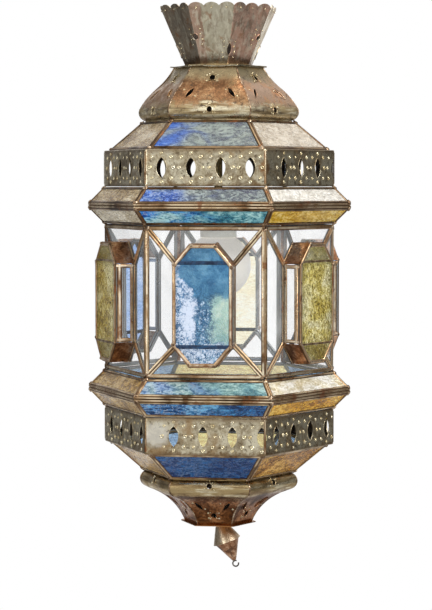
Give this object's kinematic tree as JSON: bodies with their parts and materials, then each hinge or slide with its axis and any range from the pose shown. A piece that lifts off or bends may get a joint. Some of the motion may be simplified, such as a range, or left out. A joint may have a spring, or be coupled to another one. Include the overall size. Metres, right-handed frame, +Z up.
{
  "type": "ramadan fanous lantern",
  "caption": "Hexagonal hanging lantern of coloured glass in folded metal channels, with pierced dome and bell, fluted crown, jewel boxes, hinged back door, lamp and drop finial.",
  "frame": {"origin": "centre of the hanging eye inside the crown", "axes": "+Z up along the lantern's axis, -Y out of the front face, the door in the back face at +Y"},
  "size_m": [0.3266, 0.2976, 0.6926],
  "materials": {
    "blue_glass": "hammered cobalt glass",
    "amber_glass": "hammered yellow glass",
    "clear_glass": "clear, a little wavy",
    "frosted_glass": "frosted inside",
    "bronzed_channel": "folded tin, bronzed and rubbed",
    "copper_sheet": "folded sheet, copper colour",
    "antiqued_brass_sheet": "pierced sheet, antiqued patina",
    "plain_brass": "turned",
    "dark_steel": "dull",
    "porcelain": "glazed"
  },
  "bodies": {
    "lantern": {"hanging_loop": "plain_brass", "stem_pipe": "plain_brass", "stem_nut": "plain_brass", "crown_washer": "dark_steel", "crown": "antiqued_brass_sheet", "dome_top_plate": "antiqued_brass_sheet", "bell_plate": "antiqued_brass_sheet", "lamp_socket": "porcelain", "dome_panels": "antiqued_brass_sheet", "bell_panels": "antiqued_brass_sheet", "roof_channels": "bronzed_channel", "roof_panes_blue": "blue_glass", "roof_panes_amber": "amber_glass", "upper_cornice_channels": "bronzed_channel", "upper_cornice_panes_blue": "blue_glass", "upper_cornice_panes_amber": "amber_glass", "lower_cornice_channels": "bronzed_channel", "lower_cornice_panes_blue": "blue_glass", "lower_cornice_panes_amber": "amber_glass", "lower_roof_channels": "bronzed_channel", "lower_roof_panes_blue": "blue_glass", "lower_roof_panes_amber": "amber_glass", "upper_gallery": "antiqued_brass_sheet", "lower_gallery": "antiqued_brass_sheet", "front_jewel_case": "copper_sheet", "front_jewel_glass": "blue_glass", "front_channels": "bronzed_channel", "front_clear_panes": "clear_glass", "right_front_jewel_case": "copper_sheet", "right_front_jewel_glass": "amber_glass", "right_front_channels": "bronzed_channel", "right_front_clear_panes": "clear_glass", "right_back_jewel_case": "copper_sheet", "right_back_jewel_glass": "blue_glass", "right_back_channels": "bronzed_channel", "right_back_clear_panes": "clear_glass", "left_back_jewel_case": "copper_sheet", "left_back_jewel_glass": "blue_glass", "left_back_channels": "bronzed_channel", "left_back_clear_panes": "clear_glass", "left_front_jewel_case": "copper_sheet", "left_front_jewel_glass": "amber_glass", "left_front_channels": "bronzed_channel", "left_front_clear_panes": "clear_glass", "jewel_side_panes": "clear_glass", "door_posts": "bronzed_channel", "hinge_pins": "dark_steel"},
    "door": {"door_channels": "bronzed_channel", "door_clear_panes": "clear_glass", "door_jewel_case": "copper_sheet", "door_jewel_glass": "amber_glass", "door_jewel_side_panes": "clear_glass"},
    "latch": {"door_latch": "plain_brass"},
    "bulb": {"bulb_cap": "plain_brass", "bulb_globe": "frosted_glass"},
    "finial": {"finial_skirt": "antiqued_brass_sheet", "finial_cone": "antiqued_brass_sheet", "finial_wire": "dark_steel"}
  },
  "joints": [
    {"name": "door_hinge", "type": "hinge", "parent": "lantern", "child": "door", "pos_m": [-0.0653, 0.12644, -0.322], "axis": [0, 0, 1], "range_deg": [0, 110]},
    {"name": "latch_turn", "type": "hinge", "parent": "lantern", "child": "latch", "pos_m": [0.0685, 0.12384, -0.322], "axis": [0, 1, 0], "range_deg": [0, 90]},
    {"name": "bulb_turn", "type": "hinge", "parent": "lantern", "child": "bulb", "pos_m": [0, 0, -0.238], "axis": [0, 0, 1], "range_deg": [-90, 0]},
    {"name": "finial_swing", "type": "hinge", "parent": "lantern", "child": "finial", "pos_m": [0, 0, -0.59637], "axis": [0, -1, 0], "range_deg": [-41.6, 4]}
  ]
}
